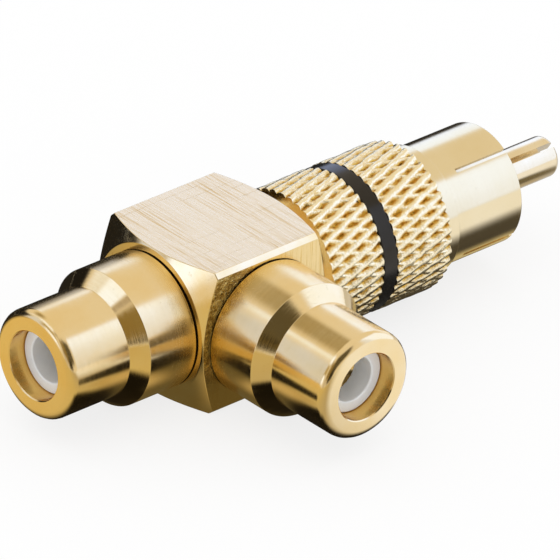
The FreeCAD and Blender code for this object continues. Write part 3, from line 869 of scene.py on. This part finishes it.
# Plug: shell with the slit skirt, insulator and split pin
def plug_shell_form():
    insulator_seat = PLUG_INSULATOR_RADIUS + FINE_EDGE
    outline = [
        (-SPIGOT_DEPTH, SPIGOT_BORE, 0), (-SPIGOT_DEPTH, SPIGOT_RADIUS, 0), (0, SPIGOT_RADIUS, 0),
        (0, NECK_RADIUS, FINE_EDGE), (COLLAR_FRONT, NECK_RADIUS, 0),
        (COLLAR_FRONT, SHOULDER_RADIUS, FINE_EDGE), (SHOULDER_FRONT, SHOULDER_RADIUS, SOFT_EDGE),
        (SHOULDER_FRONT, SKIRT_RADIUS, FINE_EDGE), (SKIRT_END, SKIRT_RADIUS, SKIRT_EDGE),
        (SKIRT_END, SKIRT_BORE, FINE_EDGE), (CAVITY_FLOOR, SKIRT_BORE, 0),
        (CAVITY_FLOOR, insulator_seat, 0), (INSULATOR_BACK, insulator_seat, 0),
        (INSULATOR_BACK, SPIGOT_BORE, 0)]
    slots = (SKIRT_SLOTS, SKIRT_SLOT_WIDTH, SKIRT_SLOT_ANGLE, SKIRT_END - SKIRT_SLOT_LENGTH)
    return lathe(outline, slots)


def plug_insulator_form():
    return lathe([
        (INSULATOR_BACK, PIN_HOLE_RADIUS, 0), (INSULATOR_BACK, PLUG_INSULATOR_RADIUS, 0),
        (CAVITY_FLOOR, PLUG_INSULATOR_RADIUS, FINE_EDGE), (CAVITY_FLOOR, PIN_HOLE_RADIUS, FINE_EDGE)])


def pin_form():
    tail_end = INSULATOR_BACK - PIN_TAIL_LENGTH
    drill_floor = PIN_TIP - PIN_SLOT_LENGTH
    outline = [
        (tail_end, 0, 0), (tail_end, PIN_TAIL_RADIUS, FINE_EDGE),
        (INSULATOR_BACK, PIN_TAIL_RADIUS, 0), (INSULATOR_BACK, PIN_SHANK_RADIUS, FINE_EDGE),
        (CAVITY_FLOOR, PIN_SHANK_RADIUS, 0), (CAVITY_FLOOR, PIN_RADIUS, FINE_EDGE),
        (PIN_TIP, PIN_RADIUS, PIN_TIP_ROUND), (PIN_TIP, PIN_DRILL_RADIUS, FINE_EDGE),
        (drill_floor, PIN_DRILL_RADIUS, 0), (drill_floor, 0, 0)]
    return lathe(outline, (PIN_SLOTS, PIN_SLOT_WIDTH, PIN_SLOT_ANGLE, drill_floor))


def on_neck(middle):
    """Whether a face of the plug shell lies behind the collar."""
    return middle.x < collar_low.x


def build_plug():
    shell = new_piece("plug_turned_shell", plug_shell_form(), PLUG_SIDE, "plug_shell",
                      gold_plug)
    finish_part(shell, neck_gold(), on_neck)
    new_piece("plug_disc", plug_insulator_form(), PLUG_SIDE, "plug_insulator",
              white)
    new_piece("split_pin", pin_form(), PLUG_SIDE, "plug_pin", pin_gold())


# Knurled collar: two crossing sets of raised lines with a pit in each diamond between them
def ridge(turns, flat, foot):
    """Height across one set of raised lines: 1 on a line's flat top, 0 beyond its foot."""
    away = abs((turns + 0.5) % 1.0 - 0.5) * 2
    share = min(1.0, max(0.0, (away - flat) / (foot - flat)))
    return 1 - share ** FLANK_CURVE


def knurl_height(along, turns):
    """0 at a pit's floor to 1 on a raised line; turns counts diamonds round the collar."""
    rising = ridge(turns + along / KNURL_PITCH, RISING_FLAT, 1.0)
    falling = ridge(turns - along / KNURL_PITCH, FALLING_FLAT, FALLING_FOOT) * FALLING_HEIGHT
    return max(rising, falling)


def knurl_stations(start, end):
    step = KNURL_PITCH / CELL_STEPS
    first = math.ceil((start + TINY) / step)
    last = math.floor((end - TINY) / step)
    return [start] + [step * i for i in range(first, last + 1)] + [end]


def knurl_row(station):
    """Ring of the knurl, as (along, radius), with lines that wander and differ in height."""
    row = []
    for column in range(KNURL_COLUMNS):
        turns = column / CELL_STEPS
        angle = TURN * turns / KNURL_COUNT
        spot = Vector((station, UNEVEN_RADIUS * math.sin(angle), UNEVEN_RADIUS * math.cos(angle)))
        wander = WANDER * noise.noise(spot * WANDER_SCALE)
        height = knurl_height(station, turns + wander) * (1 - UNEVEN * (1 + noise.noise(spot)))
        row.append((station, CREST_RADIUS - KNURL_DEPTH * (1 - height)))
    return row


def collar_rows():
    """Rings of the collar, from its front through its bore and back over its knurl."""
    groove_back = BAND_BACK - BAND_GAP
    groove_front = BAND_FRONT + BAND_GAP
    rings = [[(NECK_LENGTH, COLLAR_BORE)] * KNURL_COLUMNS]
    rings += [knurl_row(station) for station in knurl_stations(NECK_LENGTH, groove_back)]
    rings.append([(groove_back, GROOVE_RADIUS)] * KNURL_COLUMNS)
    rings.append([(groove_front, GROOVE_RADIUS)] * KNURL_COLUMNS)
    rings += [knurl_row(station) for station in knurl_stations(groove_front, COLLAR_FRONT)]
    rings.append([(COLLAR_FRONT, COLLAR_BORE)] * KNURL_COLUMNS)
    return rings[::-1]


def collar_form():
    """Mesh through the collar's rings, each cell cut along its flatter diagonal."""
    rows = collar_rows()
    points = []
    for row in rows:
        for column, (station, radius) in enumerate(row):
            angle = TURN * column / KNURL_COLUMNS
            points.append((station, -radius * math.sin(angle), radius * math.cos(angle)))
    faces = []
    for row in range(len(rows)):
        after = (row + 1) % len(rows)
        for column in range(KNURL_COLUMNS):
            onward = (column + 1) % KNURL_COLUMNS
            cell = [(row, column), (after, column), (after, onward), (row, onward)]
            a, b, c, d = (ring * KNURL_COLUMNS + spoke for ring, spoke in cell)
            radii = [rows[ring][spoke][1] for ring, spoke in cell]
            if abs(radii[0] - radii[2]) <= abs(radii[1] - radii[3]):
                faces += [[a, b, c], [a, c, d]]
            else:
                faces += [[a, b, d], [b, c, d]]
    return points, faces, None


def on_collar_end(middle):
    """Whether a face of the collar is one of its flat ends."""
    return not collar_low.x + FINE_EDGE < middle.x < collar_high.x - FINE_EDGE


def build_collar():
    collar = new_piece("collar_knurled", collar_form(), PLUG_SIDE, "knurled_collar",
                       knurl_gold(), sharp=KNURL_SHARP)
    finish_part(collar, gold_plug, on_collar_end)


def build_band():
    """Black ring in the collar's groove."""
    band_form = lathe([
        (BAND_BACK, BAND_INSIDE, 0), (BAND_BACK, BAND_RADIUS, BAND_EDGE),
        (BAND_FRONT, BAND_RADIUS, BAND_EDGE), (BAND_FRONT, BAND_INSIDE, 0)])
    new_piece("collar_band", band_form, PLUG_SIDE, "colour_ring", black_plastic())


def finish_inside(node, finish):
    """An inside piece keeps its solid's shape and gets a finish."""
    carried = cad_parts[node]
    carried.data.materials.clear()
    carried.data.materials.append(finish)


# Floor, studio and camera
def soft_step(value, low, high):
    share = min(1.0, max(0.0, (value - low) / (high - low)))
    return share * share * (3 - 2 * share)


def blended(colour, other, share):
    return tuple(a + (b - a) * share for a, b in zip(colour, other))


# Panels of the studio that the metal reflects: the middle and half size of each in degrees of
# azimuth and elevation, the width of its soft edge, how much it rises to the left, and its
# colour, where 1 is the white floor
PANELS = [
    ("warm ceiling", 0, 360, 90, 91, 1, 0, (0.84, 0.76, 0.63)),
    ("dim gap over the back", 94, 24, 52, 10, 8, 0, (0.4, 0.33, 0.19)),
    ("back right softbox", 42, 12.5, 14, 15, 4, 0, (1.06, 1.26, 1.85)),
    ("back left wall", 142, 13, 12, 23, 4, 0, (0.76, 0.82, 1.04)),
    ("left wall", 165, 16, 24, 14, 5, 0, (0.5, 0.4, 0.2)),
    ("low softbox at the left", 166, 11, 11, 8, 3, 0, (1.2, 1.4, 2.0)),
    ("top left softbox", 157, 22, 48, 8, 4, 0.1, (1.1, 1.3, 1.9)),
    ("strip of the top left softbox", 124, 12, 38, 4.5, 3, 0.75, (0.98, 1.08, 1.35)),
    ("dark behind", 92, 36, -2, 24, 3, 0, (0.014, 0.013, 0.012)),
    ("dark behind, low right", 58, 20, -18, 20, 5, 0, (0.04, 0.038, 0.035)),
    ("dark room round the camera", -112, 31, 34, 21, 6, 0, (0.11, 0.09, 0.05)),
    ("dark low in front", -124, 16, 10, 9, 4, 0, (0.03, 0.026, 0.015)),
    ("left of the camera", -150, 14, 26, 18, 5, 0, (0.28, 0.2, 0.07)),
    ("low left of the camera", -160, 12, 4, 9, 5, 0, (0.62, 0.56, 0.5)),
    ("gap left of the camera", -172, 7, 46, 6, 3, 0, (0.45, 0.38, 0.3)),
    ("right wall", 14, 26, 4, 18, 8, 0, (1.0, 1.05, 1.25)),
    ("side of the front right softbox", -55, 5, 20, 27, 4, 0, (0.88, 0.96, 1.25)),
    ("front right softbox", -26, 25.5, 18.5, 26, 3, -0.3, (1.08, 1.27, 1.88)),
]

# Floor as the metal reflects it, with painted light and shade by the azimuth it lies in
FLOOR_SECTORS = [
    (-180, (0.7, 0.55, 0.25)), (-150, (0.66, 0.53, 0.24)), (-105, (0.5, 0.42, 0.26)),
    (-75, (0.98, 1.0, 1.08)), (-20, (0.98, 1.0, 1.1)), (15, (0.4, 0.38, 0.35)),
    (30, (0.03, 0.028, 0.025)), (125, (0.014, 0.013, 0.012)), (145, (0.8, 0.6, 0.24)),
    (180, (0.7, 0.55, 0.25)),
]

# Painted shadows and painted pools of light on the floor near the object, which only reflections see:
# the middle, the half size and the width of the soft edge in millimetres, and the colour
PAINTED_FLOOR_SHADOWS_AND_LIGHT = [
    ("in front of the plug", 21.0, -6.5, 16.0, 5.0, 3.5, (0.08, 0.07, 0.055)),
    ("in front of the collar", 13.5, -9.0, 4.5, 4.0, 2.0, (0.05, 0.04, 0.025)),
    ("under the plug", 14.0, 0.0, 13.0, 4.5, 2.0, (0.05, 0.045, 0.035)),
    ("in front of the pin", 34.5, -6.0, 3.0, 3.0, 2.0, (0.18, 0.15, 0.09)),
    ("under the pin", 32.0, -1.5, 3.0, 1.6, 1.2, (0.5, 0.44, 0.34)),
    ("under the in-line jack", -10.5, -0.5, 6.8, 6.0, 1.5, (0.014, 0.011, 0.007)),
    ("beside the in-line jack's ring", -14.4, -7.3, 2.8, 1.8, 1.2, (0.06, 0.045, 0.02)),
    ("under the side jack", -0.5, -11.5, 6.8, 6.5, 1.2, (0.014, 0.011, 0.007)),
    ("in front of the in-line taper", -13.6, -5.9, 2.4, 2.2, 0.8, (0.01, 0.008, 0.005)),
    ("in front of the side taper", -6.6, -13.4, 2.2, 2.2, 0.8, (0.01, 0.008, 0.005)),
    ("under the block", -0.8, -0.8, 8.7, 8.7, 0.9, (0.13, 0.1, 0.04)),
    ("at the block's front corner", -7.6, -7.6, 2.0, 2.0, 1.4, (0.6, 0.45, 0.2)),
    ("under the skirt", 24.5, -2.6, 4.5, 1.2, 1.0, (0.6, 0.5, 0.27)),
]

# Dome of the studio: its radius in millimetres, and the rows of its mesh in degrees
STUDIO_RADIUS = 300.0
WALL_FOOT = -30
WALL_STEP = 2
WALL_ROWS = 62
WALL_COLUMNS = 180
ZENITH = 89.9

# Disc of the studio, in millimetres: rings round a point below the collar
RING_MIDDLE = 6.0
FIRST_RING = 0.4
RING_GROWTH = 1.05
RINGS = 135
RING_POINTS = 300
DISC_HEIGHT = 0.01

# White floor, its half size in metres, and white world with its light
WHITE = (1, 1, 1, 1)
FLOOR_HALF = 0.8
FLOOR_OWN_WHITE = 0.8
FILL_LIGHT = 1.05

# Camera: its axes, its distance and shift in millimetres from the point where the part's axes
# cross, and its lens
CAMERA_BACK = Vector((-0.58832, -0.63328, 0.50283))
CAMERA_RIGHT = Vector((0.74740, -0.66322, 0.03917))
CAMERA_UP = Vector((0.30868, 0.39886, 0.86349))
CAMERA_DISTANCE = 1101.11
CAMERA_SHIFT_RIGHT = 4.9390
CAMERA_SHIFT_UP = 0.9304
CAMERA_LENS = 995.1
CAMERA_SENSOR = 36


def wall_colour(azimuth, elevation):
    colour = (1, 1, 1)
    for _, centre, half_width, middle, half_height, edge, slope, panel in PANELS:
        aside = (azimuth - centre + 180) % 360 - 180
        above = elevation - middle - slope * aside
        share = 1 - soft_step(abs(aside), half_width - edge, half_width + edge)
        share *= 1 - soft_step(abs(above), half_height - edge, half_height + edge)
        colour = blended(colour, panel, share)
    return colour


# Painted light and shade of the floor as reflections see it: sectors by azimuth, then the painted
# shadows and pools near the object
def floor_colour(x, y):
    azimuth = math.degrees(math.atan2(y, x))
    for (start, first), (end, second) in zip(FLOOR_SECTORS, FLOOR_SECTORS[1:]):
        if start <= azimuth <= end:
            colour = blended(first, second, (azimuth - start) / (end - start))
    for _, spot_x, spot_y, half_x, half_y, edge, spot_colour in PAINTED_FLOOR_SHADOWS_AND_LIGHT:
        share = 1 - soft_step(abs(x - spot_x), half_x - edge, half_x + edge)
        share *= 1 - soft_step(abs(y - spot_y), half_y - edge, half_y + edge)
        colour = blended(colour, spot_colour, share)
    return colour


def glow_material(name):
    """Material that shows the colours of the mesh's points and is never sampled as a lamp."""
    material = bpy.data.materials.new(name)
    material.use_nodes = True
    tree = material.node_tree
    tree.nodes.clear()
    glow = add_node(tree, "Attribute", attribute_name="glow").outputs["Color"]
    light = add_node(tree, "Emission", {"Color": glow, "Strength": 1.0}).outputs[0]
    add_node(tree, "OutputMaterial", {"Surface": light})
    material.cycles.emission_sampling = "NONE"
    return material


def reflected_stage(name, points, colours, rows, columns):
    """Part of the studio that only reflections see: a closed grid, coloured point by point."""
    faces = []
    for row in range(rows - 1):
        for column in range(columns):
            onward = (column + 1) % columns
            faces.append((row * columns + column, row * columns + onward,
                          (row + 1) * columns + onward, (row + 1) * columns + column))
    mesh = bpy.data.meshes.new(name)
    mesh.from_pydata([Vector(p) * MM for p in points], [], faces)
    layer = mesh.color_attributes.new("glow", "FLOAT_COLOR", "POINT")
    layer.data.foreach_set("color", [part for colour in colours for part in (*colour, 1.0)])
    mesh.materials.append(glow_material(name))
    stage = bpy.data.objects.new(name, mesh)
    bpy.context.scene.collection.objects.link(stage)
    stage.visible_camera = stage.visible_diffuse = stage.visible_shadow = False
    stage.visible_transmission = stage.visible_volume_scatter = False


def studio_walls():
    """Dome from below the floor to its zenith."""
    points, colours = [], []
    for row in range(WALL_ROWS):
        elevation = WALL_FOOT + WALL_STEP * row if row < WALL_ROWS - 1 else ZENITH
        flat = math.cos(math.radians(elevation)) * STUDIO_RADIUS
        height = math.sin(math.radians(elevation)) * STUDIO_RADIUS + AXIS_HEIGHT
        for column in range(WALL_COLUMNS):
            azimuth = 360 / WALL_COLUMNS * column
            turn = math.radians(azimuth)
            points.append((flat * math.cos(turn), flat * math.sin(turn), height))
            colours.append(wall_colour(azimuth, elevation))
    reflected_stage("studio_walls", points, colours, WALL_ROWS, WALL_COLUMNS)


def studio_floor():
    """Glowing disc just above the floor, in rings that get wider away from the object, with painted
    shade, shadows and pools of light that only reflections see.
    """
    points, colours = [], []
    for row in range(RINGS):
        radius = FIRST_RING * RING_GROWTH ** row
        for column in range(RING_POINTS):
            turn = TURN / RING_POINTS * column
            x, y = RING_MIDDLE + radius * math.cos(turn), radius * math.sin(turn)
            points.append((x, y, DISC_HEIGHT))
            colours.append(floor_colour(x, y))
    reflected_stage("studio_floor", points, colours, RINGS, RING_POINTS)


def seen_directly(tree):
    """1 for what the camera, a reflection or a clear surface sees, 0 for light on its way."""
    path = add_node(tree, "LightPath").outputs
    seen = add_math(tree, "MAXIMUM", path["Is Camera Ray"], path["Is Glossy Ray"])
    return add_math(tree, "MAXIMUM", seen, path["Is Transmission Ray"])


def white_floor_material():
    """Matt white that keeps a shadow, with most of its white its own where it is seen."""
    material, tree, shader = new_material("floor_white")
    shader.inputs["Base Color"].default_value = (0.95, 0.95, 0.95, 1)
    shader.inputs["Roughness"].default_value = 0.9
    shader.inputs["Specular IOR Level"].default_value = 0.0
    white = add_node(tree, "Emission", {"Color": WHITE, "Strength": 1.0}).outputs[0]
    share = add_math(tree, "MULTIPLY", seen_directly(tree), FLOOR_OWN_WHITE)
    mixed = add_node(tree, "MixShader", {0: share, 1: shader.outputs[0], 2: white}).outputs[0]
    tree.links.new(mixed, tree.nodes["Material Output"].inputs["Surface"])
    return material


def white_floor():
    half = FLOOR_HALF
    corners = [(-half, -half, 0), (half, -half, 0), (half, half, 0), (-half, half, 0)]
    mesh = bpy.data.meshes.new("floor")
    mesh.from_pydata(corners, [], [(0, 1, 2, 3)])
    mesh.materials.append(white_floor_material())
    floor = bpy.data.objects.new("floor", mesh)
    bpy.context.scene.collection.objects.link(floor)


def studio_world():
    world = bpy.data.worlds.new("studio")
    bpy.context.scene.world = world
    world.use_nodes = True
    tree = world.node_tree
    tree.nodes.clear()
    backdrop = add_node(tree, "Background", {"Color": WHITE, "Strength": 1.0}).outputs[0]
    fill = add_node(tree, "Background", {"Color": WHITE, "Strength": FILL_LIGHT}).outputs[0]
    mixed = add_node(tree, "MixShader", {0: seen_directly(tree), 1: fill, 2: backdrop}).outputs[0]
    add_node(tree, "OutputWorld", {"Surface": mixed})


def studio_camera():
    """Camera as it was fitted to the photograph."""
    place = CAMERA_BACK * CAMERA_DISTANCE
    place += CAMERA_RIGHT * CAMERA_SHIFT_RIGHT
    place += CAMERA_UP * CAMERA_SHIFT_UP
    place += Vector((0, 0, AXIS_HEIGHT))
    data = bpy.data.cameras.new("camera")
    data.sensor_width = CAMERA_SENSOR
    data.lens = CAMERA_LENS
    data.clip_start = 0.01
    data.clip_end = 20
    camera = bpy.data.objects.new("camera", data)
    turned = Matrix((CAMERA_RIGHT, CAMERA_UP, CAMERA_BACK)).transposed().to_4x4()
    camera.matrix_world = Matrix.Translation(place * MM) @ turned
    bpy.context.scene.collection.objects.link(camera)
    bpy.context.scene.camera = camera


# Everything in its order
gold_x = jack_gold("X", 0.17)
gold_y = jack_gold("Y", 0.15)
gold_plug = plug_gold()
joint_shade = painted_joint_shade()
white = white_plastic()
brass = bare_brass()

build_block()
build_jack("inline", INLINE_SIDE, "X", gold_x)
build_jack("side", SIDE_SIDE, "Y", gold_y)
build_plug()
build_collar()
build_band()
finish_inside("centre_rod", brass)
finish_inside("inline_jack_contact", gold_x)
finish_inside("side_jack_contact", gold_y)

studio_walls()
studio_floor()
white_floor()
studio_world()
studio_camera()
bpy.context.scene.view_settings.view_transform = "Standard"
